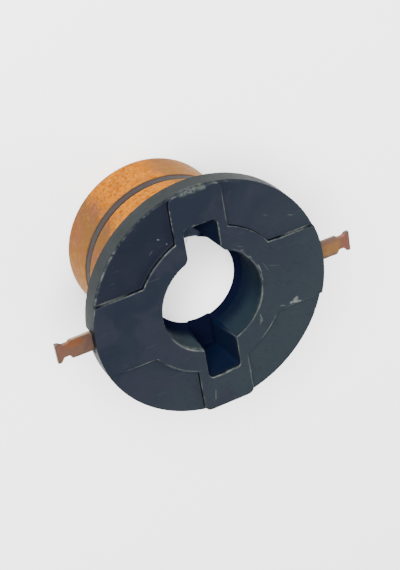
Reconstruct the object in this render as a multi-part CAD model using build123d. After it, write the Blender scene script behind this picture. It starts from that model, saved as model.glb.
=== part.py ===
"""Alternator slip ring: two copper rings and two copper strip leads moulded into one phenolic hub.

The part stands on the drum's rear end, with the axis along +Z and the flange face up. The origin is
on the axis, in the plane of the rear end. The terminals lie along X and the two wire slots along Y.
All sizes are in millimetres.
"""
import os
from math import hypot, sqrt

from build123d import *

# Copper rings, a wide one at the rear end and one nearer the flange
ring_diameter = 32.0
ring_thickness = 2.8
rear_ring_width = 8.8
front_ring_width = 8.2
band_width = 2.0
band_recess = 0.1
ring_edge_chamfer = 0.3

# Dovetail rib that locks each ring into the moulding
rib_height = 1.2
rib_root_width = 1.8
rib_crest_width = 2.8
rib_embed = 0.4
rib_notch_count = 4

# Bore for the rotor shaft, with a wider mouth on the flange side
bore_diameter = 17.0
bore_chamfer = 0.8
mouth_diameter = 19.5
mouth_depth = 8.9
mouth_floor_chamfer = 1.0
mouth_bevel = 0.25

# Wire slots, open to the mouth, a little deeper than it is and narrower at the floor
slot_width = 6.5
slot_depth = 9.4
slot_reach = 15.6
slot_draft = 7.0
slot_corner_radius = 1.1
slot_cover = 1.6
slot_floor_thickness = 0.9
bevel_angle = 45

# Flange with four sunk sectors between a round land and four arms
flange_diameter = 45.2
flange_thickness = 4.4
flange_edge_chamfer = 0.35
collar_buttress = 1.2
pocket_depth = 0.9
pocket_corner_radius = 0.5
land_diameter = 28.5
slot_arm_width = 10.1
slot_arm_setback = 0.35
slot_arm_corner_radius = 1.3
lead_arm_width = 14.7

# Copper strip leads
lead_width = 3.7
lead_thickness = 0.8
lead_depth = 2.5
lead_bend_radius = 1.2
lead_insulation = 1.0
lead_end_margin = 1.4
lead_bite = 0.2
terminal_reach = 29.2
terminal_tip_width = 3.9
terminal_tip_length = 0.5
terminal_flare_length = 0.7
terminal_neck_width = 2.7
terminal_neck_length = 1.0
terminal_shoulder_length = 0.6

# Notch in the rim that each terminal comes out of, open to the back of the flange
notch_clearance = 0.55
notch_depth = 1.3
notch_skin = 1.0
notch_corner_radius = 0.5

# Heights and radii worked out from the sizes above
ring_radius = ring_diameter / 2
ring_bore_radius = ring_radius - ring_thickness
bore_radius = bore_diameter / 2
mouth_radius = mouth_diameter / 2
flange_radius = flange_diameter / 2
land_radius = land_diameter / 2
collar_radius = slot_reach + slot_cover
band_start = rear_ring_width
front_ring_start = band_start + band_width
collar_start = front_ring_start + front_ring_width
face_height = collar_start + slot_floor_thickness + slot_depth
mouth_floor = face_height - mouth_depth
flange_start = face_height - flange_thickness
pocket_floor = face_height - pocket_depth
lead_plane = face_height - lead_depth
rib_notch_width = lead_width + 2 * lead_insulation
lead_pad_radius = ring_bore_radius + lead_bite - lead_thickness / 2
lead_run_radius = sqrt((ring_bore_radius - lead_insulation) ** 2 - (lead_width / 2) ** 2) - lead_thickness / 2
terminal_flare_end = terminal_reach - terminal_tip_length
terminal_neck_end = terminal_flare_end - terminal_flare_length
terminal_neck_start = terminal_neck_end - terminal_neck_length
terminal_shoulder = terminal_neck_start - terminal_shoulder_length
notch_width = lead_width + 2 * notch_clearance
overcut = 1.0
tolerance = 0.001


def cut_corners(face, size, *points):
    """The flat face with its corners nearest to the given points cut off at 45 degrees."""
    corners = [face.vertices().sort_by_distance((x, y, 0))[0] for x, y in points]
    return chamfer(corners, size)


def revolved(face):
    """Solid of revolution about Z from a face drawn with the radius along X and the height along Y."""
    return revolve(Plane.XZ * face, Axis.Z)


def make_rib(middle):
    """Dovetail rib round the inside of a ring, cut through where the leads pass."""
    crest = ring_bore_radius - rib_height
    root = ring_bore_radius + rib_embed
    half_root = rib_root_width / 2
    half_crest = rib_crest_width / 2
    outline = [
        (crest, middle - half_crest),
        (ring_bore_radius, middle - half_root),
        (root, middle - half_root),
        (root, middle + half_root),
        (ring_bore_radius, middle + half_root),
        (crest, middle + half_crest),
    ]
    rib = revolved(make_face(Polyline(*outline, close=True)))
    opening = Pos(ring_bore_radius, 0, middle) * Box(ring_bore_radius, rib_notch_width, rear_ring_width)
    for index in range(rib_notch_count):
        rib -= Rot(0, 0, index * 360 / rib_notch_count) * opening
    return rib


def make_ring(start, width):
    """Copper ring with turned edges and the dovetail rib inside."""
    end = start + width
    turned = ring_radius - ring_edge_chamfer
    outline = [
        (ring_bore_radius, start),
        (turned, start),
        (ring_radius, start + ring_edge_chamfer),
        (ring_radius, end - ring_edge_chamfer),
        (turned, end),
        (ring_bore_radius, end),
    ]
    return revolved(make_face(Polyline(*outline, close=True))) + make_rib(start + width / 2)


def terminal_outline():
    """Outline of a lead seen along the axis: a straight strip that ends in a neck and a flared hook."""
    side = [
        (0, lead_width / 2),
        (terminal_shoulder, lead_width / 2),
        (terminal_neck_start, terminal_neck_width / 2),
        (terminal_neck_end, terminal_neck_width / 2),
        (terminal_flare_end, terminal_tip_width / 2),
        (terminal_reach, terminal_tip_width / 2),
    ]
    other_side = [(x, -y) for x, y in reversed(side)]
    return make_face(Polyline(*side, *other_side, close=True))


def make_strip(ring_start, under_front_ring):
    """Bent strip from the terminal through the flange and down to the inside of a ring.

    It bites a little into the ring, which trims it later. The strip for the rear ring runs down
    further in, under the front ring, and steps out again at the band between the rings.
    """
    if under_front_ring:
        step_start = (lead_run_radius, front_ring_start - lead_insulation)
        step_end = (lead_pad_radius, band_start - lead_insulation)
        run = [(lead_run_radius, lead_plane), step_start, step_end]
    else:
        run = [(lead_pad_radius, lead_plane)]
    route = [(terminal_reach, lead_plane), *run, (lead_pad_radius, ring_start + lead_end_margin)]
    path = Plane.XZ * FilletPolyline(*route, radius=lead_bend_radius)
    start_plane = Plane(origin=path @ 0, x_dir=(0, 1, 0), z_dir=path % 0)
    blank_width = max(lead_width, terminal_tip_width)
    strip = sweep(start_plane * Rectangle(blank_width, lead_thickness), path=path)
    return strip & extrude(terminal_outline(), amount=face_height)


def raised_face():
    """Plan of what stands above the sunk sectors: the land, the slot arms and the lead arms."""
    rim = Circle(flange_radius)
    slot_arms = Rectangle(slot_arm_width, 2 * (flange_radius - slot_arm_setback))
    slot_arms = fillet(slot_arms.vertices(), slot_arm_corner_radius) & rim
    lead_arms = Rectangle(2 * flange_radius, lead_arm_width) & rim
    plan = Circle(land_radius) + slot_arms + lead_arms
    on_land = [point for point in plan.vertices() if abs(hypot(point.X, point.Y) - land_radius) < tolerance]
    return fillet(on_land, pocket_corner_radius)


def make_sunk_sectors():
    """Cutter for the four sunk sectors, which leaves the edge of the rim chamfered."""
    outer = flange_radius + overcut
    top = face_height + overcut
    around_arms = Circle(outer + overcut) - raised_face()
    prism = Pos(0, 0, flange_start) * extrude(around_arms, amount=top + overcut - flange_start)
    outline = [
        (mouth_radius, pocket_floor),
        (flange_radius, pocket_floor),
        (flange_radius, pocket_floor - overcut),
        (outer, pocket_floor - overcut),
        (outer, top),
        (mouth_radius, top),
    ]
    above = make_face(Polyline(*outline, close=True))
    return prism & revolved(cut_corners(above, flange_edge_chamfer, (flange_radius, pocket_floor)))


def make_slot():
    """Cutters for the slot on the +Y side: drafted walls with round corners, and a bevel round the edge."""
    mouth = Pos(0, slot_reach / 2) * Rectangle(slot_width, slot_reach)
    mouth = fillet(mouth.vertices().group_by(Axis.Y)[-1], slot_corner_radius)
    slot = extrude(Pos(0, 0, face_height) * mouth, amount=-slot_depth, taper=slot_draft)
    edge = offset(mouth, amount=mouth_bevel)
    bevel = extrude(Pos(0, 0, face_height) * edge, amount=-mouth_bevel, taper=bevel_angle)
    return [slot, bevel]


def make_notch():
    """Cutter for the rim notch on the +X side."""
    height = flange_thickness - notch_skin
    opening = Pos(flange_radius, 0) * Rectangle(2 * notch_depth, notch_width)
    opening = fillet(opening.vertices().group_by(Axis.X)[0], notch_corner_radius)
    return Pos(0, 0, flange_start - overcut) * extrude(opening, amount=height + overcut)


def make_body():
    """Everything on the hub that is round: core, band, collar, flange, stepped bore and mouth."""
    band_radius = ring_radius - band_recess
    outline = [
        (bore_radius, bore_chamfer),
        (bore_radius + bore_chamfer, 0),
        (ring_bore_radius, 0),
        (ring_bore_radius, band_start),
        (band_radius, band_start),
        (band_radius, front_ring_start),
        (ring_bore_radius, front_ring_start),
        (ring_bore_radius, collar_start),
        (collar_radius, collar_start),
        (collar_radius, flange_start),
        (flange_radius, flange_start),
        (flange_radius, face_height),
        (mouth_radius + mouth_bevel, face_height),
        (mouth_radius, face_height - mouth_bevel),
        (mouth_radius, mouth_floor),
        (bore_radius, mouth_floor),
    ]
    section = make_face(Polyline(*outline, close=True))
    section = cut_corners(section, collar_buttress, (collar_radius, flange_start))
    section = cut_corners(section, mouth_floor_chamfer, (mouth_radius, mouth_floor))
    rims = [(collar_radius, collar_start), (flange_radius, flange_start), (flange_radius, face_height)]
    return revolved(cut_corners(section, flange_edge_chamfer, *rims))


def make_hub(inserts):
    """Moulded hub in one piece, with the copper that it is moulded round cut from it."""
    hub = make_body() - make_sunk_sectors()
    for cutter in make_slot() + [make_notch()]:
        for turn in (0, 180):
            hub -= Rot(0, 0, turn) * cutter
    for insert in inserts:
        hub -= insert
    return hub


rear_ring = make_ring(0, rear_ring_width)
front_ring = make_ring(front_ring_start, front_ring_width)
front_strip = Rot(0, 0, 180) * make_strip(front_ring_start, under_front_ring=False)
rear_strip = make_strip(0, under_front_ring=True)
ribs = [make_rib(rear_ring_width / 2), make_rib(front_ring_start + front_ring_width / 2)]
hub = make_hub(ribs + [front_strip, rear_strip])

os.makedirs("parts", exist_ok=True)
export_step(hub, "parts/moulded_hub.step")
export_step(rear_ring, "parts/rear_ring.step")
export_step(front_ring, "parts/front_ring.step")
export_step(front_strip - front_ring, "parts/front_ring_lead.step")
export_step(rear_strip - rear_ring, "parts/rear_ring_lead.step")
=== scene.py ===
"""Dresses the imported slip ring: moulded hub, copper rings, strip leads, floor, light and camera.

Lengths in the classes are millimetres in the part's frame: the axis is +Z, the flange face is up and
the terminals lie along X. Meshes are written in metres.
"""

import logging
from collections.abc import Callable, Iterable, Iterator, Mapping, Sequence
from contextlib import contextmanager
from dataclasses import dataclass
from enum import Enum
from math import atan2, cos, degrees, hypot, pi, radians, sin, sqrt, tan
from typing import Union

import bmesh
import bpy
from mathutils import Matrix, Vector, noise


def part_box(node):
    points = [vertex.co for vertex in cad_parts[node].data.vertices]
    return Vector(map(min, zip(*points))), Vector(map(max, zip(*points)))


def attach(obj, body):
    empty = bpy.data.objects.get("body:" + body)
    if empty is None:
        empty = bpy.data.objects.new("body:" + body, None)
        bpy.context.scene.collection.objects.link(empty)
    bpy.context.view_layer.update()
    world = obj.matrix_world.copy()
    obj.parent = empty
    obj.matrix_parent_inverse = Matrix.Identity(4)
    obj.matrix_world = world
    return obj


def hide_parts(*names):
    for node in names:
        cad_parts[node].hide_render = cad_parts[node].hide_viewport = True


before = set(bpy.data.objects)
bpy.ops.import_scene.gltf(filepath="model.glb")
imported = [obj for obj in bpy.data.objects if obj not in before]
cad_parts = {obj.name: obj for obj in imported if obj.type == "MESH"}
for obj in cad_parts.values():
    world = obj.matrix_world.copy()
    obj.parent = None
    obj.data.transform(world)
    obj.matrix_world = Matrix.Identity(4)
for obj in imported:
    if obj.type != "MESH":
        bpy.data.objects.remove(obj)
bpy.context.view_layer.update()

MM = 0.001
WELD = MM * 0.0005
LOG = logging.getLogger("slip_ring")

Point = tuple[float, float]
Triple = tuple[float, float, float]
Colour = tuple[float, float, float]
Span = tuple[float, float]
Socket = bpy.types.NodeSocket
Material = bpy.types.Material
Piece = bpy.types.Object
Operand = Union["Value", float]
Tone = Union["Value", Colour]
Inputs = Mapping[str | int, object]


class Combine(Enum):
    """Ways to combine two closed meshes."""

    CUT = "DIFFERENCE"
    SHARED = "INTERSECT"


# Shader and geometry graphs


def operator(operation: str, turned: bool = False) -> Callable[..., "Value"]:
    """Method of Value that adds one Math node.

    Args:
        operation: The node's operation.
        turned: Whether the other operand comes before the value.

    Returns:
        The method.
    """

    def method(value: "Value", *others: Operand) -> "Value":
        """Adds the node."""
        operands = (*others, value) if turned else (value, *others)
        return value.graph.math(operation, *operands)

    return method


class Value:
    """What one output of a node carries; Python operators turn it into Math nodes."""

    __add__ = __radd__ = operator("ADD")
    __mul__ = __rmul__ = operator("MULTIPLY")
    __sub__ = operator("SUBTRACT")
    __rsub__ = operator("SUBTRACT", turned=True)
    __truediv__ = operator("DIVIDE")
    __rtruediv__ = operator("DIVIDE", turned=True)
    __abs__ = operator("ABSOLUTE")
    least = operator("MINIMUM")
    most = operator("MAXIMUM")
    root = operator("SQRT")

    def __init__(self, graph: "Graph", socket: Socket) -> None:
        """Wraps an output socket of a graph."""
        self.graph = graph
        self.socket = socket

    def rise(self, low: float, high: float) -> "Value":
        """A smooth step.

        Args:
            low: Where the result is 0.
            high: Where the result is 1; it may lie below low.

        Returns:
            The step, held at 0 and 1 outside that stretch.
        """
        if low > high:
            return 1 - self.rise(high, low)
        ends = {"Value": self, "From Min": low, "From Max": high}
        return self.graph.value("ShaderNodeMapRange", ends, interpolation_type="SMOOTHSTEP")

    def within(self, low: float, high: float, soft: float) -> "Value":
        """1 between two bounds and 0 outside them, with soft edges of the given width."""
        return self.rise(low - soft, low + soft) * self.rise(high + soft, high - soft)


class Graph:
    """A node tree with short calls for the nodes that it is made of."""

    def __init__(self, tree: bpy.types.NodeTree) -> None:
        """Wraps a tree."""
        self.tree = tree

    def node(self, kind: str, inputs: Inputs | None = None, **settings: object) -> bpy.types.Node:
        """Adds a node, sets it and fills its sockets.

        Args:
            kind: The node's type.
            inputs: Numbers, colours or values by socket name or index.
            settings: Properties of the node, set before its sockets.

        Returns:
            The node.
        """
        made = self.tree.nodes.new(kind)
        for name, setting in settings.items():
            setattr(made, name, setting)
        for key, entry in (inputs or {}).items():
            if isinstance(entry, Value):
                self.tree.links.new(entry.socket, made.inputs[key])
            else:
                made.inputs[key].default_value = entry
        return made

    def value(
        self, kind: str, inputs: Inputs | None = None, output: str | int = 0, **settings: object
    ) -> Value:
        """Adds a node and gives one of its outputs, the first unless another is named."""
        return Value(self, self.node(kind, inputs, **settings).outputs[output])

    def math(self, operation: str, *operands: Operand) -> Value:
        """Adds a Math node on numbers and values."""
        return self.value("ShaderNodeMath", dict(enumerate(operands)), operation=operation)


def opaque(tone: Tone) -> Union[Value, tuple[float, float, float, float]]:
    """What a colour socket takes: a value as it is, or a plain colour with an alpha of 1."""
    return (*tone, 1.0) if isinstance(tone, tuple) else tone


class Surface(Graph):
    """The node tree of one material, with the place on the object in millimetres at hand."""

    def __init__(self, name: str, ground: Colour) -> None:
        """Makes a material of the given name that is painted on a ground colour."""
        self.material = bpy.data.materials.new(name)
        self.material.use_nodes = True
        super().__init__(self.material.node_tree)
        self.tree.nodes.clear()
        place = self.value("ShaderNodeTexCoord", output="Object")
        self.place = self.value("ShaderNodeVectorMath", {0: place, "Scale": 1 / MM}, operation="SCALE")
        apart = self.node("ShaderNodeSeparateXYZ", {0: self.place})
        self.x, self.y, self.z = (Value(self, socket) for socket in apart.outputs)
        self.radius = (self.x * self.x + self.y * self.y).root()
        self.colour: Tone = ground

    def mix(self, first: Tone, second: Tone, share: Operand) -> Value:
        """Mixes two colours: the first where share is 0 and the second where it is 1."""
        inputs = {0: share, 6: opaque(first), 7: opaque(second)}
        return self.value("ShaderNodeMix", inputs, 2, data_type="RGBA", clamp_factor=True)

    def paint(self, tone: Tone, mask: Operand) -> None:
        """Lays a colour over the surface's colour where the mask is above 0."""
        self.colour = self.mix(self.colour, tone, mask)

    def noise(
        self, scale: float, detail: float = 3.0, warp: float = 0.0, where: Value | None = None
    ) -> Value:
        """Smooth noise around 0.5.

        Args:
            scale: How fine the noise is.
            detail: How many octaves it has.
            warp: How much it is distorted.
            where: The coordinates, or None for the place on the object.

        Returns:
            The noise.
        """
        inputs = {"Vector": where or self.place, "Scale": scale, "Detail": detail, "Distortion": warp}
        return self.value("ShaderNodeTexNoise", inputs)

    def stretched(self, scale: Triple, turn: float = 0.0, shift: Triple = (0.0, 0.0, 0.0)) -> Value:
        """The place on the object scaled, turned about Z by an angle in degrees, and moved."""
        rotation = (0.0, 0.0, radians(turn))
        inputs = {"Vector": self.place, "Location": shift, "Rotation": rotation, "Scale": scale}
        return self.value("ShaderNodeMapping", inputs)

    def toward(self, x: float, y: float) -> Value:
        """How far a place lies on the side of the axis that (x, y) points at, from -1 to 1."""
        return (self.x * x + self.y * y) / self.radius

    def facing(self, direction: Triple) -> Value:
        """How far the surface faces a direction on the object, from -1 to 1."""
        inputs = {0: self.value("ShaderNodeNewGeometry", output="Normal"), 1: direction}
        return self.value("ShaderNodeVectorMath", inputs, "Value", operation="DOT_PRODUCT")

    def scratch(self, start: Point, end: Point, width: float) -> Value:
        """A mask for one scratch on the flange face.

        Args:
            start: One end of the scratch.
            end: The other end.
            width: Its full width.

        Returns:
            1 on the scratch and 0 off it.
        """
        run = (end[0] - start[0], end[1] - start[1])
        length = hypot(*run)
        along = (run[0] / length, run[1] / length)
        from_x = self.x - (start[0] + end[0]) / 2
        from_y = self.y - (start[1] + end[1]) / 2
        forward = abs(from_x * along[0] + from_y * along[1]) - length / 2
        sideways = abs(from_y * along[0] - from_x * along[1])
        return sideways.rise(width / 2, width / 6) * forward.rise(0.0, -length / 4)

    def arc(self, middle: float, span: float, reach: float, width: float) -> Value:
        """A mask for a worn arc round the axis.

        Args:
            middle: The angle of its middle, in degrees.
            span: The angle that it takes up, in degrees.
            reach: Its radius.
            width: Its full width.

        Returns:
            1 on the arc and 0 off it.
        """
        toward = self.toward(cos(radians(middle)), sin(radians(middle)))
        ends = toward.rise(cos(radians(span / 2)), cos(radians(span / 4)))
        return abs(self.radius - reach).rise(width / 2, width / 6) * ends

    def specks(self, cell: float, size: float, share: float) -> Value:
        """A mask of small round specks, at random places.

        Args:
            cell: The mean distance between places where a speck can be.
            size: The radius of a speck.
            share: The share of those places that has one.

        Returns:
            1 on a speck and 0 off it.
        """
        dots = self.node("ShaderNodeTexVoronoi", {"Vector": self.place, "Scale": 1 / cell})
        apart = self.value("ShaderNodeSeparateColor", {0: Value(self, dots.outputs["Color"])})
        chosen = apart.rise(1 - share - 0.01, 1 - share + 0.01)
        return Value(self, dots.outputs["Distance"]).rise(size / cell, size / cell / 2) * chosen

    def finish(
        self,
        roughness: Operand,
        metallic: float,
        relief: Value,
        depth: float,
        gloss: float = 0.5,
        tint: Colour = (1.0, 1.0, 1.0),
    ) -> Material:
        """Adds the shader, with the colour as painted, and the output.

        Args:
            roughness: The roughness.
            metallic: How metallic the surface is.
            relief: The height field of the fine relief.
            depth: The relief's depth in millimetres.
            gloss: The strength of the mirror reflection.
            tint: The colour of the mirror reflection at a grazing angle.

        Returns:
            The material.
        """
        bump = self.value("ShaderNodeBump", {"Height": relief, "Strength": 1.0, "Distance": depth * MM})
        inputs = {"Base Color": opaque(self.colour), "Roughness": roughness, "Metallic": metallic}
        inputs |= {"Normal": bump, "Specular IOR Level": gloss, "Specular Tint": opaque(tint)}
        self.node("ShaderNodeOutputMaterial", {"Surface": self.value("ShaderNodeBsdfPrincipled", inputs)})
        return self.material


# Outlines and meshes


def arc_points(centre: Point, radius: float, start: float, end: float, steps: int) -> list[Point]:
    """Points on an arc between two angles in degrees, both ends included."""
    angles = [radians(start + (end - start) * step / steps) for step in range(steps + 1)]
    return [(centre[0] + radius * cos(angle), centre[1] + radius * sin(angle)) for angle in angles]


def rounded_outline(corners: Sequence[Triple], steps: int) -> list[Point]:
    """Closed outline of straight runs with rounded corners.

    Args:
        corners: Each corner's two coordinates and its radius, 0 for a sharp one.
        steps: The number of steps round each corner.

    Returns:
        The outline's points in order.
    """
    points: list[Point] = []
    for index, (x, y, radius) in enumerate(corners):
        if radius == 0:
            points.append((x, y))
            continue
        corner = Vector((x, y))
        before = (Vector(corners[index - 1][:2]) - corner).normalized()
        after = (Vector(corners[(index + 1) % len(corners)][:2]) - corner).normalized()
        half = before.angle(after) / 2
        centre = corner + (before + after).normalized() * (radius / sin(half))
        first = corner + before * (radius / tan(half)) - centre
        last = corner + after * (radius / tan(half)) - centre
        turn = pi - 2 * half
        for step in range(steps + 1):
            share = step / steps
            spoke = (first * sin((1 - share) * turn) + last * sin(share * turn)) / sin(turn)
            points.append(tuple(centre + spoke))
    return points


def moved_outline(points: Sequence[Point], distance: float) -> list[Point]:
    """Closed counter-clockwise outline moved outwards by the same distance everywhere, point for point."""
    moved = []
    for index, point in enumerate(points):
        here = Vector(point)
        before = (here - Vector(points[index - 1])).normalized()
        after = (Vector(points[(index + 1) % len(points)]) - here).normalized()
        first = Vector((before.y, -before.x))
        second = Vector((after.y, -after.x))
        moved.append(tuple(here + (first + second) * (distance / (1 + first.dot(second)))))
    return moved


def cutter_levels(
    floor: float, crease: float, face: float, edge: float, air: float
) -> list[tuple[float, float]]:
    """Levels of a cutter that leaves a round crease at its floor and a round edge at the face.

    Args:
        floor: The height of the cutter's floor.
        crease: The radius of the crease.
        face: The height of the face that it cuts.
        edge: The radius of the edge.
        air: How far the cutter stands above the face.

    Returns:
        The heights from the lowest up, each with how far the outline moves outwards there.
    """
    past_face = 1.004
    turns = [radians(90 * step / 4) for step in range(5)]
    levels = [(floor + crease * (1 - cos(turn)), -crease * (1 - sin(turn))) for turn in turns]
    turns = [radians(90 * step / 5) for step in range(6)]
    levels += [(face - edge + edge * sin(turn) * past_face, edge * (1 - cos(turn))) for turn in turns]
    return [*levels, (face + air, edge)]


def add_object(name: str, data: bpy.types.ID) -> Piece:
    """Puts a new object with the given data into the scene."""
    made = bpy.data.objects.new(name, data)
    bpy.context.scene.collection.objects.link(made)
    return made


@contextmanager
def opened(mesh: bpy.types.Mesh) -> Iterator[bmesh.types.BMesh]:
    """Opens a mesh for editing and writes it back at the end."""
    draft = bmesh.new()
    draft.from_mesh(mesh)
    yield draft
    draft.to_mesh(mesh)
    draft.free()


def new_piece(
    name: str,
    vertices: Iterable[Sequence[float]],
    faces: Iterable[Sequence[int]],
    edges: Iterable[Sequence[int]] = (),
) -> Piece:
    """Object at the origin from vertices in millimetres.

    Args:
        name: The object's name.
        vertices: The places of the vertices.
        faces: The faces as vertex indices.
        edges: Edges that belong to no face.

    Returns:
        The object, with faces that point outwards.
    """
    mesh = bpy.data.meshes.new(name)
    places = [tuple(value * MM for value in vertex) for vertex in vertices]
    mesh.from_pydata(places, list(edges), [tuple(face) for face in faces])
    with opened(mesh) as draft:
        bmesh.ops.recalc_face_normals(draft, faces=draft.faces)
    return add_object(name, mesh)


def skin(count: int, rows: Iterable[tuple[int, int]]) -> list[Sequence[int]]:
    """Faces between pairs of closed rows of vertices.

    Args:
        count: The number of vertices in each row.
        rows: The two rows of each pair.

    Returns:
        The faces as vertex indices.
    """
    faces: list[Sequence[int]] = []
    for here, there in rows:
        first, second = here * count, there * count
        for index in range(count):
            after = (index + 1) % count
            faces.append((first + index, first + after, second + after, second + index))
    return faces


def revolved(name: str, outline: Sequence[Point], segments: int) -> Piece:
    """Solid of revolution about Z from a closed outline of radius and height."""
    turns = [2 * pi * step / segments for step in range(segments)]
    vertices = [
        (radius * cos(turn), radius * sin(turn), height) for turn in turns for radius, height in outline
    ]
    rows = [(step, (step + 1) % segments) for step in range(segments)]
    return new_piece(name, vertices, skin(len(outline), rows))


def lofted(name: str, levels: Sequence[tuple[float, Sequence[Point]]]) -> Piece:
    """Closed solid through outlines with the same number of points, given with their heights from below."""
    count, last = len(levels[0][1]), len(levels) - 1
    vertices = [(x, y, height) for height, outline in levels for x, y in outline]
    ends = [range(count), range(last * count, (last + 1) * count)]
    return new_piece(name, vertices, ends + skin(count, zip(range(last), range(1, last + 1))))


def settle(piece: Piece) -> None:
    """Turns what a piece's modifiers make into its own plain mesh, and removes them."""
    evaluated = piece.evaluated_get(bpy.context.evaluated_depsgraph_get())
    mesh = bpy.data.meshes.new_from_object(evaluated)
    piece.modifiers.clear()
    old = piece.data
    piece.data = mesh
    mesh.name = piece.name
    bpy.data.meshes.remove(old)


def combine(piece: Piece, tool: Piece, way: Combine) -> None:
    """Combines a piece with a closed solid, which is used up."""
    modifier = piece.modifiers.new("combine", "BOOLEAN")
    modifier.operation = way.value
    modifier.solver = "EXACT"
    modifier.object = tool
    settle(piece)
    bpy.data.meshes.remove(tool.data)


def shade(piece: Piece, sharp: float = 40.0) -> None:
    """Smooth shading that keeps flat faces flat and edges of more than the given degrees sharp."""
    piece.data.shade_smooth()
    piece.data.set_sharp_from_angle(angle=radians(sharp))
    weighted = piece.modifiers.new("weighted", "WEIGHTED_NORMAL")
    weighted.keep_sharp = True
    settle(piece)


def hand_over(piece: Piece, material: Material, slot: str, *nodes: str) -> None:
    """Gives a finished piece its material and its place in the frame.

    Args:
        piece: The piece.
        material: Its material.
        slot: Not used.
        nodes: The CAD nodes that it stands for.
    """
    piece.data.materials.clear()
    piece.data.materials.append(material)
    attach(piece, "root")
    if nodes:
        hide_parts(*nodes)
    LOG.info("%s: %d faces", piece.name, len(piece.data.polygons))


def node_span(node: str) -> Span:
    """Lowest and highest point of a CAD node along the axis, in millimetres."""
    low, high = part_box(node)
    return low[2] / MM, high[2] / MM


# Finishes


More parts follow.
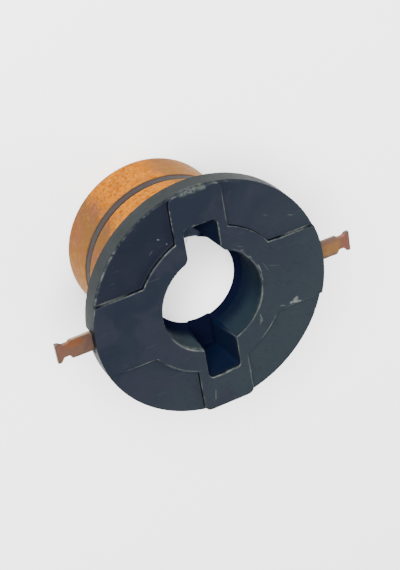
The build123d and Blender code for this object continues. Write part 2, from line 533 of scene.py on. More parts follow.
@dataclass(frozen=True)
class PhenolicFinish:
    """Charcoal moulding compound, scuffed pale along its edges, with painted light and shade on its face,
    sides and hollows.
    """

    upper: Colour = (0.0056, 0.0074, 0.0124)
    shadowed: Colour = (0.0040, 0.0052, 0.0092)
    # Painted light: the lighter tone that the face is painted towards the lower right.
    lower: Colour = (0.0104, 0.0137, 0.0170)
    violet: Colour = (0.0092, 0.0098, 0.0152)
    pit: Colour = (0.0050, 0.0060, 0.0090)
    rim: Colour = (0.0100, 0.0122, 0.0130)
    green: Colour = (0.0085, 0.0118, 0.0098)
    band: Colour = (0.022, 0.017, 0.0165)
    pale: Colour = (0.085, 0.096, 0.086)
    gate: Colour = (0.034, 0.040, 0.036)
    # Dark colour for painted shade, and for the dark joints at the band's edges.
    shade_and_joints: Colour = (0.0003, 0.0006, 0.0025)
    # Painted light: near-white that stands in for the light seen through the bore.
    bore: Colour = (0.95, 0.95, 0.95)
    # Painted shade: the darker navy of the mouth and slots.
    mouth: Colour = (0.0010, 0.0058, 0.0125)
    # Painted light on the hollows' lower-left side.
    lit_hollow_tone: Colour = (0.0165, 0.0260, 0.0320)
    # Painted shade: the still darker navy in the slots.
    slot: Colour = (0.0009, 0.0030, 0.0115)
    # Dust with painted light on the upper slot's floor.
    slot_dust_and_light: Colour = (0.017, 0.022, 0.034)
    # Painted shade deeper in the hollows.
    deep_shade: Colour = (0.0001, 0.0024, 0.0105)
    # Painted shade: darkest navy next to the mouth's floor.
    depth: Colour = (0.0001, 0.0007, 0.0060)
    gloss: float = 0.045
    upper_left: Point = (-0.50, 0.87)
    lower_left: Point = (-0.63, -0.78)
    lower_right: Point = (0.45, -0.89)

    def material(self, hub: "Hub") -> Material:
        """Makes the material for a hub of the given sizes."""
        surface = Surface("phenolic", self.upper)
        blotches = surface.noise(0.13, 4.0, 1.2)
        fine = surface.noise(2.2, 4.0)
        grain = surface.noise(9.0)
        hairs = self._hairlines(surface) * surface.z.rise(hub.floor - 0.05, hub.floor)
        self._paint_flats(surface, hub, blotches, fine)
        shade_under_rim = self._paint_sides(surface, hub, fine)
        inside = self._paint_hollows(surface, hub, fine)
        marks = self._paint_wear(surface, hub, fine, inside, hairs)
        roughness = 0.52 + (blotches - 0.5) * 0.35 + marks * 0.2 + inside.most(shade_under_rim) * 0.4
        relief = grain * 0.35 + fine * 0.4 - hairs * 0.4 - marks * 0.3
        return surface.finish(roughness, 0.0, relief, 0.025, self.gloss)

    def _paint_flats(self, surface: Surface, hub: "Hub", blotches: Value, fine: Value) -> None:
        """Paints the blotchy colour of the flange's face and sunk floor, with painted light to the lower
        right and painted shade on the upper-left floor.
        """
        lean = (surface.x * 0.60 - surface.y * 0.80) / hub.flange_radius + (blotches - 0.5) * 0.9
        leftwards = (surface.x * -0.94 + surface.y * 0.34) / hub.flange_radius
        on_floor = surface.z.rise(hub.floor + 0.1, hub.floor + 0.02)
        # Painted light: the face is painted lighter towards the lower right, where the light falls on it.
        surface.paint(self.lower, lean.rise(-0.9, 0.9))
        surface.paint(self.violet, (blotches + leftwards * 0.12).rise(0.50, 0.70) * 0.7)
        # Painted shade on the sunk floor towards the upper left.
        surface.paint(self.shadowed, surface.toward(*self.upper_left).rise(0.55, 0.9) * on_floor * 0.7)
        surface.paint(self.pit, fine.rise(0.44, 0.28) * 0.45)

    def _paint_sides(self, surface: Surface, hub: "Hub", fine: Value) -> Value:
        """Paints the sides: painted shade on the sunk sectors' walls, beside the notches and along the rim's
        back edge, the rim's and collar's colour, and the band with its dark joints.

        Args:
            surface: The surface to paint.
            hub: The hub's sizes.
            fine: The fine noise.

        Returns:
            The mask of the painted shade along the rim's lower edge.
        """
        z, radius, flange, mouth = surface.z, surface.radius, hub.flange_radius, hub.mouth_radius
        # Painted shade: the sunk sectors' walls that face the upper left are painted dark.
        sunk = z.within(hub.floor + 0.08, hub.face - 0.12, 0.06) * radius.rise(mouth + 0.6, mouth + 0.9)
        facing = surface.facing((*self.upper_left, 0.0)).rise(0.0, 0.3)
        surface.paint(self.shade_and_joints, sunk * radius.rise(flange - 0.25, flange - 0.45) * facing * 0.85)
        side = radius.rise(flange - 0.15, flange - 0.03)
        below = radius.rise(mouth + 1.5, mouth + 2.5) * z.rise(hub.floor - 0.3, hub.floor - 0.5)
        rim = surface.mix(self.rim, self.green, surface.noise(0.5, 3.0, 1.0).rise(0.45, 0.60))
        surface.paint(rim, side.most(below) * (0.55 + 0.6 * fine))
        back = hub.flange_start
        # Painted shade on the rim's side beside the notches, where the terminals go in.
        notch_shade = side * abs(surface.y).rise(hub.notch_wide_half + 0.9, hub.notch_wide_half + 0.2)
        surface.paint(self.shade_and_joints, notch_shade * z.rise(back + 1.6, back + 2.2) * 0.7)
        # Painted shade along the rim's back edge, where the flange hides the front ring.
        shade_under_rim = side * z.rise(back + 0.4, back + 0.15)
        surface.paint(self.shade_and_joints, shade_under_rim * 0.9)
        low, high = hub.band
        near_band = z.within(low, high, 0.02) * radius.rise(hub.ring_radius - 0.6, hub.ring_radius - 0.3)
        surface.paint(self.shade_and_joints, near_band * 0.7)
        surface.paint(self.band, near_band * z.within(low + 0.3, high - 0.3, 0.15))
        return shade_under_rim

    def _paint_hollows(self, surface: Surface, hub: "Hub", fine: Value) -> Value:
        """Paints the mouth, the wire slots and the bore, with painted light and shade in them: lighter on the
        lit side, darker deeper down, and a near-white bore for the light seen through the hole.

        Args:
            surface: The surface to paint.
            hub: The hub's sizes.
            fine: The fine noise.

        Returns:
            The mask of the mouth and the slots.
        """
        y, z, radius, mouth, bore = surface.y, surface.z, surface.radius, hub.mouth_radius, hub.bore_radius
        slot_floor = hub.face - hub.slot_depth
        in_mouth = radius.rise(mouth + 0.06, mouth - 0.02) * z.rise(hub.bore_top - 0.4, hub.bore_top)
        in_slot = abs(surface.x).rise(hub.slot_half, hub.slot_half - 0.12)
        in_slot = in_slot * z.rise(hub.face - 0.1, hub.face - 0.5)
        in_slot = in_slot * abs(y).rise(hub.slot_reach + 0.1, hub.slot_reach - 0.1)
        in_slot = in_slot * z.rise(slot_floor - 0.3, slot_floor - 0.1)
        inside = in_mouth.most(in_slot)
        # Painted light: the hollows are painted lighter teal on the lower-left side, where the light falls.
        lower_left = surface.toward(*self.lower_left)
        lit = lower_left.rise(0.3, 0.8).most(surface.toward(*self.lower_right).rise(0.55, 0.98) * 0.4)
        hollow = surface.mix(self.mouth, self.lit_hollow_tone, lit)
        # Painted shade: the slots are painted a darker navy than the mouth.
        hollow = surface.mix(hollow, self.slot, in_slot * radius.rise(mouth - 0.1, mouth))
        # Painted shade: darker deeper down in the hollows, and darkest near the mouth's floor.
        height = z + (fine - 0.5) * 2.0 + lower_left.most(0.0)
        hollow = surface.mix(hollow, self.deep_shade, height.rise(hub.face - 3.0, hub.face - 6.5))
        hollow = surface.mix(hollow, self.depth, z.rise(hub.bore_top + 1.2, hub.bore_top + 0.4))
        # Painted shade and light: the mouth and slots are painted darker navy than the face, as the hollows
        # lie in shade.
        surface.paint(hollow, inside * z.rise(hub.face - 0.2, hub.face - 1.2))
        # Dust and painted light: the upper slot's floor is painted paler, with white flecks and the light
        # that reaches it.
        dusted_and_lit = y.rise(bore - 1.0, bore) * z.rise(slot_floor + 0.8, slot_floor + 0.3)
        surface.paint(self.slot_dust_and_light, dusted_and_lit * in_slot * (0.4 + 0.8 * fine))
        # Painted light: the bore is painted near-white, standing in for the light seen through the hole.
        in_bore = radius.rise(bore + 0.03, bore + 0.005) * z.rise(hub.bore_top + 0.02, hub.bore_top - 0.05)
        surface.paint(self.bore, in_bore)
        return inside

    def _paint_wear(self, surface: Surface, hub: "Hub", fine: Value, inside: Value, hairs: Value) -> Value:
        """Paints the worn edges, the scratches, the dust and the gate's scar.

        Args:
            surface: The surface to paint.
            hub: The hub's sizes and its scratches.
            fine: The fine noise.
            inside: The mask of the mouth and the slots.
            hairs: The mask of the hairlines.

        Returns:
            The mask of all marks.
        """
        x, y, z, radius, floor, face = surface.x, surface.y, surface.z, surface.radius, hub.floor, hub.face
        upper_left = surface.toward(*self.upper_left)
        hole = abs(self._hole(surface, hub))
        outside = (radius - hub.land_radius).least(abs(x) - hub.slot_arm_half)
        outside = outside.least(abs(y) - hub.lead_arm_half)
        edge = abs(outside).least(hole).least(hub.flange_radius - radius + upper_left.rise(0.75, 0.45))
        ragged = (surface.noise(1.1, 5.0, 0.8) - 0.5) * 0.5
        patchy = surface.noise(0.35).rise(0.40, 0.60)
        on_top = z.rise(face - 0.32, face - 0.1)
        marks = (edge + ragged).rise(0.16, 0.0) * (0.12 + 0.70 * patchy) * on_top
        marks = marks.most((hole + ragged * 0.3).rise(0.11, 0.01) * (0.25 + 0.30 * patchy) * on_top)

        at_gate = abs(x - hub.gate_middle).rise(hub.gate_half + 0.5, hub.gate_half - 0.3)
        rim_edge = radius.within(hub.flange_radius - 0.5, hub.flange_radius - 0.1, 0.1)
        rim_edge = rim_edge * at_gate.most(z.rise(floor + 0.3, floor + 0.1))
        rim_edge = rim_edge * upper_left.rise(0.55, 0.85) * (0.25 + 0.55 * patchy)
        marks = marks.most(rim_edge * z.rise(floor - 0.4, floor - 0.2) * (ragged + 0.25).rise(0.15, 0.4))
        marks = marks.most(hairs * 0.25)
        jagged = (fine * 1.6).least(1.0) * z.rise(floor - 0.2, floor)
        for start, end, width, strength in hub.scratches:
            marks = marks.most(surface.scratch(start, end, width) * strength * jagged)
        rough = (ragged * 1.4 + 0.5).rise(0.3, 0.65) * z.rise(face - 1.4, face - 0.8)
        for middle, span, reach, width, strength in hub.worn_arcs:
            marks = marks.most(surface.arc(middle, span, reach, width) * strength * rough)
        dust = surface.specks(2.3, 0.13, 0.10).most(surface.specks(1.1, 0.07, 0.06) * 0.6)
        marks = marks.most(dust * 0.55 * z.rise(floor - 0.2, floor - 0.05))

        sheltered = surface.toward(*self.lower_left).rise(0.9, 0.8)
        marks = marks * (1 - inside * z.rise(face - 0.25, face - 0.5) * sheltered)
        drafted = abs(x) - hub.slot_half + (face - z) * tan(radians(hub.slot_draft))
        corner = abs(drafted).rise(0.22, 0.05) * abs(radius - hub.mouth_radius).rise(0.22, 0.05)
        marks = marks.most(corner * y.rise(0.0, -1.0) * z.rise(face - 6.0, face - 1.0) * 0.45)
        surface.paint(self.pale, marks * (0.45 + 0.55 * fine))
        scar = at_gate * y.rise(hub.slot_arm_end - 0.65, hub.slot_arm_end - 0.15) * z.rise(floor - 0.6, floor)
        surface.paint(self.gate, scar * surface.noise(1.9, 5.0, 1.5).rise(0.42, 0.62))
        return marks

    def _hole(self, surface: Surface, hub: "Hub") -> Value:
        """Distance on the flange face to the mouth and slots, less than 0 inside them."""
        across = (abs(surface.x) - (hub.slot_half - hub.slot_corner)).most(0.0)
        along = (abs(surface.y) - (hub.slot_reach - hub.slot_corner)).most(0.0)
        slot = (across * across + along * along).root() - hub.slot_corner
        return (surface.radius - hub.mouth_radius).least(slot)

    def _hairlines(self, surface: Surface) -> Value:
        """Fine scuffs in three directions, as a mask."""
        hairs = []
        for turn, shift in ((17.0, 3.0), (-52.0, 11.0), (101.0, 29.0)):
            where = surface.stretched((0.22, 6.0, 1.0), turn, (shift, shift, 0.0))
            hairs.append(surface.noise(1.0, 2.0, where=where).rise(0.72, 0.80))
        return hairs[0].most(hairs[1]).most(hairs[2])


@dataclass(frozen=True)
class CopperFinish:
    """Turned copper, golden on one side and pinkish on the other, with stained outer edges; the golden side
    is painted light, the inner edges carry painted highlights and the +X side painted shade.
    """

    highlight_edges: tuple[float, ...]
    dark_edges: tuple[float, ...]
    tan: Colour = (0.092, 0.049, 0.023)
    # Painted light: the golden tone of the side that faces the light.
    golden: Colour = (0.325, 0.102, 0.005)
    rosy: Colour = (0.100, 0.041, 0.030)
    dark: Colour = (0.150, 0.042, 0.003)
    pink: Colour = (0.210, 0.075, 0.030)
    yellow: Colour = (0.340, 0.165, 0.020)
    # Real staining on the outer edges and turning lines, and painted shade on the +X side.
    stain_and_shade: Colour = (0.040, 0.026, 0.018)
    # Painted highlight along the inner edges.
    cream: Colour = (0.110, 0.062, 0.028)
    roughness: float = 0.42
    tint: Colour = (1.0, 0.72, 0.50)
    lit_golden_side: Point = (-0.259, 0.966)

    def material(self) -> Material:
        """Makes the material."""
        surface = Surface("turned_copper", self.tan)
        clouds = surface.noise(0.16, 4.0, 0.9)
        spots = surface.noise(0.9, 5.0, 0.6)
        freckles = surface.noise(1.5, 5.0, 0.4)
        flecks = surface.noise(1.4, 4.0, 1.0, surface.stretched((1.0, 1.0, 1.0), shift=(40.0, 7.0, 3.0)))
        lines = surface.noise(1.0, where=surface.stretched((0.02, 0.02, 9.0)))
        large = surface.noise(0.5, 3.0, 0.8)
        toward = surface.toward(*self.lit_golden_side)
        # Painted light: the side that faces the light is painted golden and brighter.
        bright = (toward + (clouds - 0.5) * 0.18 + (spots - 0.5) * 0.2).rise(0.86, 0.98)
        for tone, mask in (
            (self.rosy, surface.noise(0.21, 3.0, 0.5).rise(0.42, 0.60)),
            (self.golden, bright),
            (self.yellow, flecks.rise(0.52, 0.66) * (0.12 + 0.75 * bright)),
            (self.pink, spots.rise(0.54, 0.66) * (0.15 + 0.35 * bright)),
            (self.dark, freckles.rise(0.50, 0.62) * (0.2 + 0.6 * bright)),
            (self.pink, large.rise(0.56, 0.64) * 0.35),
            (self.dark, large.rise(0.44, 0.36) * 0.30),
            # Painted shade: the +X side, away from the light, is darkened.
            (self.stain_and_shade, surface.toward(1.0, 0.0).rise(0.2, 0.7) * 0.35),
        ):
            surface.paint(tone, mask)
        edges: Operand = 0.0
        # Painted highlights in cream along the inner edges next to the band, and staining along the outer
        # edges.
        for ends, tone, reach, share in (
            (self.highlight_edges, self.cream, 0.28, 0.7),
            (self.dark_edges, self.stain_and_shade, 0.40, 0.85),
        ):
            for end in ends:
                near = (abs(surface.z - end) + (flecks - 0.5) * 0.2).rise(reach, reach / 3)
                surface.paint(tone, near * share)
                edges = near.most(edges)
        surface.paint(self.stain_and_shade, lines.rise(0.58, 0.75) * 0.15)
        roughness = self.roughness + (spots - 0.5) * 0.3 + (lines - 0.5) * 0.15 + edges * 0.35
        return surface.finish(roughness, 1.0, lines * 0.5 + freckles * 0.5, 0.012, tint=self.tint)


@dataclass(frozen=True)
class StripFinish:
    """Rolled copper strip, heat-stained and oxidised in zones along each terminal, with painted shade at the
    left terminal's root.
    """

    brown: Colour = (0.080, 0.041, 0.026)
    ochre: Colour = (0.135, 0.062, 0.012)
    orange: Colour = (0.118, 0.032, 0.005)
    salmon: Colour = (0.098, 0.033, 0.023)
    mauve: Colour = (0.068, 0.040, 0.038)
    dark: Colour = (0.040, 0.026, 0.022)
    cream: Colour = (0.20, 0.135, 0.075)
    roughness: float = 0.45
    metallic: float = 0.45
    tint: Colour = (1.0, 0.78, 0.60)
    root: float = 23.4

    def material(self, lead: "StripLead") -> Material:
        """Makes the material for either lead, as both terminals have the same sizes."""
        surface = Surface("rolled_copper", self.brown)
        spots = surface.noise(1.1, 5.0, 0.8)
        fine = surface.noise(4.0, 4.0)
        out = abs(surface.x) + (spots - 0.5) * 1.2
        y = surface.y + (spots - 0.5) * 0.8
        right = surface.x.rise(-1.0, 1.0)
        half = lead.width / 2
        left_zone = y.rise(-0.1, 1.0) * out.rise(self.root, self.root + 1.2)
        over = left_zone * (1 - right) + y.within(-1.3, 0.9, 0.3) * right
        over = over * out.rise(lead.neck_start + 0.9, lead.neck_start - 0.1)
        tip = out.rise(lead.neck_start - 0.1, lead.neck_start + 0.6)
        border = (half - abs(surface.y)).least(lead.reach - abs(surface.x))
        worn = surface.y.rise(half - 0.06, half + 0.01) * out.rise(lead.shoulder + 0.3, lead.shoulder - 0.3)
        worn = worn * (1 - right) * surface.z.within(lead.plane - 0.28, lead.plane + 0.24, 0.08)
        at_root = out.rise(self.root + 0.4, self.root - 0.2)
        for tone, mask in (
            (surface.mix(self.orange, self.ochre, right), over * (0.55 + 0.9 * (fine - 0.3))),
            # Painted shade on the left terminal's root, where it goes into the rim notch.
            (self.dark, out.rise(self.root + 1.4, self.root) * (1 - right) * 0.5),
            (self.salmon, tip * (0.35 + 0.65 * right)),
            (self.mauve, fine.rise(0.48, 0.62) * (0.5 + 0.3 * at_root)),
            (self.dark, (border + (fine - 0.5) * 0.2).rise(0.30, 0.08) * 0.8),
            (self.cream, worn),
        ):
            surface.paint(tone, mask)
        roughness = self.roughness + (spots - 0.5) * 0.3
        return surface.finish(roughness, self.metallic, fine * 0.6 + spots * 0.4, 0.02, tint=self.tint)


@dataclass(frozen=True)
class FloorFinish:
    """Plain pale floor."""

    pale: Colour = (0.90, 0.90, 0.90)
    grey: Colour = (0.88, 0.88, 0.88)

    def material(self) -> Material:
        """Makes the material."""
        surface = Surface("floor", self.pale)
        haze = surface.noise(0.01, 2.0)
        surface.paint(self.grey, haze)
        return surface.finish(0.8, 0.0, haze, 0.01)


# Pieces


@dataclass
class Hub:
    """The moulded hub: core, band, collar and the flange with its sunk sectors, mouth and wire slots."""

    face: float
    band: Span
    collar_start: float
    ring_radius: float
    bore_radius: float = 8.5
    bore_top: float = 20.4
    bore_chamfer: float = 0.8
    mouth_radius: float = 9.75
    mouth_fillet: float = 1.0
    seat_radius: float = 13.2
    band_recess: float = 0.1
    collar_radius: float = 17.2
    collar_fillet: float = 1.2
    flange_radius: float = 22.6
    flange_thickness: float = 4.4
    flange_edge: float = 0.35
    land_radius: float = 14.25
    sunk_depth: float = 0.9
    slot_arm_half: float = 5.05
    slot_arm_end: float = 22.25
    slot_arm_corner: float = 1.3
    lead_arm_half: float = 7.35
    inner_corner: float = 0.5
    slot_half: float = 3.25
    slot_reach: float = 15.6
    slot_depth: float = 9.4
    slot_draft: float = 7.0
    slot_corner: float = 1.1
    slot_least_corner: float = 0.3
    slot_floor_corner: float = 0.6
    upper_mouth_corner: float = 1.6
    lower_mouth_corner: float = 0.45
    notch_wide_half: float = 2.4
    notch_tight_half: float = 1.9
    notch_depth: float = 1.3
    notch_corner: float = 0.5
    notch_crease: float = 0.15
    notch_skin: float = 1.5
    rib_height: float = 1.2
    rib_root_half: float = 0.9
    rib_crest_half: float = 1.4
    edge: float = 0.2
    soft_edge: float = 0.3
    fine_edge: float = 0.08
    crease: float = 0.15
    gate_middle: float = -0.3
    gate_half: float = 2.3
    overcut: float = 1.0
    segments: int = 288

    @property
    def floor(self) -> float:
        """Height of the sunk sectors' floor."""
        return self.face - self.sunk_depth

    @property
    def flange_start(self) -> float:
        """Height of the flange's back."""
        return self.face - self.flange_thickness

    @property
    def scratches(self) -> list[tuple[Point, Point, float, float]]:
        """The scratches that stand out on the face: ends, width and strength."""
        return [
            ((-2.45, -18.0), (-2.85, -20.6), 0.16, 0.8),
            ((8.45, -6.2), (8.75, -8.2), 0.18, 0.9),
            ((8.85, -7.1), (8.1, -8.7), 0.14, 0.8),
            ((8.3, -7.0), (8.35, -8.3), 0.12, 0.7),
            ((12.6, -6.3), (13.6, -6.6), 0.22, 0.9),
            ((14.4, -6.55), (16.6, -6.45), 0.75, 1.0),
            ((15.3, -6.3), (16.5, -5.8), 0.75, 1.0),
            ((15.2, -6.6), (17.0, -6.9), 0.55, 1.0),
            ((9.9, 2.2), (10.05, 0.0), 0.20, 0.7),
            ((4.9, 8.9), (7.8, 6.7), 0.18, 0.35),
            ((6.0, 8.9), (7.4, 8.3), 0.18, 0.3),
            ((10.4, 3.9), (11.6, 1.2), 0.12, 0.4),
            ((11.2, 2.8), (13.9, 1.9), 0.10, 0.3),
            ((16.9, 10.7), (18.0, 10.2), 0.16, 0.6),
            ((12.2, 12.4), (13.2, 12.0), 0.12, 0.4),
            ((-7.9, 15.3), (-7.4, 15.0), 0.30, 0.9),
            ((-6.4, 13.9), (-6.1, 13.6), 0.22, 0.8),
            ((-19.4, -7.1), (-12.4, -7.1), 0.22, 0.6),
            ((-9.8, 12.8), (-8.9, 13.6), 0.14, 0.5),
            ((-0.4, -15.7), (3.0, -15.4), 0.30, 0.8),
            ((-2.9, -15.7), (0.2, -15.8), 0.16, 0.4),
            ((4.8, -13.4), (4.8, -21.4), 0.22, 0.4),
            ((13.0, -7.1), (20.8, -7.1), 0.22, 0.4),
            ((4.85, 13.6), (4.85, 21.0), 0.18, 0.30),
            ((-3.4, 14.4), (-2.6, 15.9), 0.20, 0.7),
            ((-1.5, 15.75), (-0.8, 15.85), 0.26, 0.9),
            ((6.6, 7.9), (7.2, 7.6), 0.26, 0.9),
            ((9.5, 3.9), (10.0, 1.9), 0.30, 0.9),
            ((8.1, 6.1), (8.6, 5.5), 0.22, 0.7),
            ((-21.5, 7.2), (-12.7, 7.2), 0.20, 0.5),
            ((12.8, 7.2), (21.3, 7.2), 0.20, 0.6),
        ]

    @property
    def worn_arcs(self) -> list[tuple[float, float, float, float, float]]:
        """Rough worn stretches of round edges: middle and span in degrees, radius, width and strength."""
        return [
            (231.0, 56.0, self.mouth_radius, 0.8, 0.9),
            (-22.0, 30.0, self.mouth_radius + 0.1, 0.4, 0.6),
            (30.0, 36.0, self.mouth_radius + 0.15, 0.4, 0.5),
            (-45.0, 24.0, self.land_radius - 0.3, 0.26, 0.6),
            (-125.0, 34.0, self.land_radius - 0.3, 0.26, 0.5),
            (130.0, 40.0, self.land_radius - 0.1, 0.25, 0.35),
        ]

    def _profile(self) -> list[Point]:
        """The outline that is revolved: bore, end, ring seats with their grooves, collar and flange."""
        corners = [
            (self.bore_radius, self.bore_chamfer, self.edge),
            (self.bore_radius + self.bore_chamfer, 0.0, self.edge / 2),
        ]
        seats = ((0.0, self.band[0]), (self.band[1], self.collar_start))
        crest = self.seat_radius - self.rib_height
        proud = self.ring_radius - self.band_recess
        for start, end in seats:
            middle = (start + end) / 2
            corners += [
                (self.seat_radius, start, 0.0),
                (self.seat_radius, middle - self.rib_root_half, 0.0),
                (crest, middle - self.rib_crest_half, 0.0),
                (crest, middle + self.rib_crest_half, 0.0),
                (self.seat_radius, middle + self.rib_root_half, 0.0),
                (self.seat_radius, end, 0.0),
            ]
            if start == 0:
                corners += [(proud, height, self.fine_edge) for height in self.band]
        corners += [
            (self.collar_radius, self.collar_start, self.soft_edge),
            (self.collar_radius, self.flange_start, self.collar_fillet),
            (self.flange_radius, self.flange_start, self.flange_edge),
            (self.flange_radius, self.face, self.soft_edge),
            (self.mouth_radius, self.face, self.edge),
            (self.mouth_radius, self.bore_top, self.mouth_fillet),
            (self.bore_radius, self.bore_top, self.fine_edge),
        ]
        return rounded_outline(corners, steps=5)

    def _sector_outline(self) -> list[Point]:
        """Plan of the +Y pair of sunk sectors, which meet round the end of the slot arm."""
        reach = self.land_radius + self.inner_corner
        low = self.lead_arm_half + self.inner_corner
        high = self.slot_arm_half + self.inner_corner
        first = (sqrt(reach**2 - low**2), low)
        second = (high, sqrt(reach**2 - high**2))
        towards_first = degrees(atan2(first[1], first[0]))
        towards_second = degrees(atan2(second[1], second[0]))
        tip = (self.slot_arm_half - self.slot_arm_corner, self.slot_arm_end - self.slot_arm_corner)
        outer = self.flange_radius + 2 * self.overcut
        limit = degrees(atan2(self.lead_arm_half, outer))
        half = [
            *arc_points(first, self.inner_corner, 270.0, 180.0 + towards_first, 6),
            *arc_points((0.0, 0.0), self.land_radius, towards_first, towards_second, 28)[1:-1],
            *arc_points(second, self.inner_corner, 180.0 + towards_second, 180.0, 6),
            *arc_points(tip, self.slot_arm_corner, 0.0, 90.0, 8),
        ]
        other = [(-x, y) for x, y in reversed(half)]
        rim = arc_points((0.0, 0.0), outer, 180.0 - limit, limit, 60)
        return list(reversed(half + other + rim))

    def _sunk_sectors(self) -> Piece:
        """Cutter for one pair of sunk sectors, with a crease at the floor and a round edge at the face."""
        outline = self._sector_outline()
        levels = cutter_levels(self.floor, self.crease, self.face, self.edge, 2 * self.overcut)
        cutter = lofted("sunk", [(height, moved_outline(outline, shift)) for height, shift in levels])
        floor = self.floor - 0.001
        outside = self.flange_radius + 4 * self.overcut
        air = [
            (self.mouth_radius, floor, 0.0),
            (self.flange_radius, floor, self.flange_edge),
            (self.flange_radius, self.floor - self.overcut, 0.0),
            (outside, self.floor - self.overcut, 0.0),
            (outside, self.face + self.overcut, 0.0),
            (self.mouth_radius, self.face + self.overcut, 0.0),
        ]
        combine(cutter, revolved("air", rounded_outline(air, steps=6), self.segments), Combine.SHARED)
        return cutter

    def _slot(self, worn: float) -> Piece:
        """Cutter for the +Y wire slot: drafted walls, round corners and floor, and a round edge.

        Args:
            worn: The radius that the slot's corners with the mouth are worn to.

        Returns:
            The cutter.
        """
        loops = []
        levels = cutter_levels(0.0, self.slot_floor_corner, self.slot_depth, self.edge, self.overcut)
        for height, flare in levels:
            inset = min(0.0, height - self.slot_depth) * tan(radians(self.slot_draft)) + flare
            half, reach = self.slot_half + inset, self.slot_reach + inset
            corner = max(self.slot_corner + inset, self.slot_least_corner)
            centre = (half + worn, sqrt((self.mouth_radius + worn) ** 2 - (half + worn) ** 2))
            lean = degrees(atan2(centre[1], centre[0]))
            side = [
                *arc_points((half - corner, reach - corner), corner, 90.0, 0.0, 8),
                *arc_points(centre, worn, 180.0, 180.0 + lean, 8),
                (half, self.mouth_radius - 3.0),
            ]
            outline = [(-x, y) for x, y in side] + list(reversed(side))
            loops.append((self.face - self.slot_depth + height, outline))
        return lofted("slot", loops)

    def _notch(self) -> Piece:
        """Cutter for the +X rim notch, open to the back of the flange."""
        end, soft = self.face - self.notch_skin, self.notch_crease
        inner, outer = self.flange_radius - self.notch_depth, self.flange_radius + self.overcut
        corners = [
            (outer, self.notch_wide_half, 0.0),
            (inner, self.notch_wide_half, self.notch_corner),
            (inner, -self.notch_tight_half, self.notch_corner),
            (outer, -self.notch_tight_half, 0.0),
        ]
        outline = list(reversed(rounded_outline(corners, steps=6)))
        levels = [
            (self.flange_start - self.overcut, 0.0),
            (end - soft, 0.0),
            (end - soft * 0.3, -soft * 0.3),
            (end, -soft),
        ]
        return lofted("notch", [(height, moved_outline(outline, shift)) for height, shift in levels])

    def _chips(self) -> list[tuple[float, float, float, float]]:
        """Places and sizes of the small breaks along the edges."""
        on_face = [
            (15.6, -7.5, 0.75),
            (14.3, -7.4, 0.35),
            (10.0, 1.2, 0.40),
            (9.2, -4.1, 0.35),
            (-3.4, -14.2, 0.35),
            (1.6, -15.7, 0.40),
            (-3.3, 10.4, 0.45),
            (-2.9, 15.3, 0.75),
            (5.1, 21.0, 0.40),
            (-5.1, 14.8, 0.35),
            (-12.6, 7.4, 0.30),
            (-22.4, 7.5, 0.40),
            (22.5, 7.2, 0.40),
            (-8.6, -4.8, 0.30),
        ]
        on_floor = [(19.9, -10.6, 0.40), (-14.8, 17.0, 0.35), (-20.5, 9.4, 0.40)]
        levels = ((self.face, on_face), (self.floor, on_floor))
        return [(x, y, height, size) for height, places in levels for x, y, size in places]

    def build(self) -> Piece:
        """Makes the hub's mesh.

        Returns:
            The finished piece, without its material.
        """
        hub = revolved("hub_moulding", self._profile(), self.segments)
        for turn, worn in ((0.0, self.upper_mouth_corner), (pi, self.lower_mouth_corner)):
            for cutter in (self._sunk_sectors(), self._slot(worn), self._notch()):
                cutter.data.transform(Matrix.Rotation(turn, 4, "Z"))
                combine(hub, cutter, Combine.CUT)
        for index, (x, y, z, size) in enumerate(self._chips()):
            combine(hub, self._chip(x, y, z, size, index), Combine.CUT)
        shade(hub, 32.0)
        return hub

    def _chip(self, x: float, y: float, z: float, size: float, index: int) -> Piece:
        """Rough lump that breaks a chip out of an edge."""
        lump = bmesh.new()
        bmesh.ops.create_icosphere(lump, subdivisions=2, radius=1.0)
        for vertex in lump.verts:
            rough = 0.75 + 0.5 * noise.noise(vertex.co * 1.7 + Vector((index * 3.1, 0.0, 0.0)))
            place = Vector((vertex.co.x * size, vertex.co.y * size * 0.7, vertex.co.z * size * 0.5)) * rough
            vertex.co = (place + Vector((x, y, z))) * MM
        mesh = bpy.data.meshes.new("chip")
        lump.to_mesh(mesh)
        lump.free()
        return add_object("chip", mesh)

    def build_gate_scar(self) -> Piece:
        """Makes the broken stub of the moulding gate on the end of the +Y arm.

        Returns:
            The piece, without its material.
        """
        columns, rows = 46, 12
        low, high = self.floor - 0.25, self.face - 0.12
        back = self.slot_arm_end - 0.3
        vertices = []
        for row in range(rows + 1):
            for column in range(columns + 1):
                across, up = column / columns, row / rows
                x = self.gate_middle + self.gate_half * (2 * across - 1)
                z = low + (high - low) * up + 0.06 * noise.noise(Vector((x * 1.3, up * 3, 7.0)))
                swell = min(1.0, min(across, 1 - across, up, 1 - up) * 7.0)
                rough = 0.5 + 0.5 * noise.noise(Vector((x * 1.9, z * 3.1, 2.0)))
                rough += 0.3 * noise.noise(Vector((x * 5, z * 6, 4.0)))
                vertices.append((x, back + 0.25 + 0.38 * swell * max(0.1, rough), z))
        count = len(vertices)
        vertices += [(x, back, z) for x, _, z in vertices]
        faces = []
        for row in range(rows):
            for column in range(columns):
                here = row * (columns + 1) + column
                quad = (here, here + 1, here + columns + 2, here + columns + 1)
                faces += [quad, tuple(count + index for index in reversed(quad))]
        ring = list(range(columns + 1))
        ring += [row * (columns + 1) + columns for row in range(1, rows + 1)]
        ring += [rows * (columns + 1) + column for column in range(columns - 1, -1, -1)]
        ring += [row * (columns + 1) for row in range(rows - 1, 0, -1)]
        for vertex, after in zip(ring, ring[1:] + ring[:1]):
            faces.append((vertex, after, count + after, count + vertex))
        piece = new_piece("gate_scar", vertices, faces)
        shade(piece)
        return piece


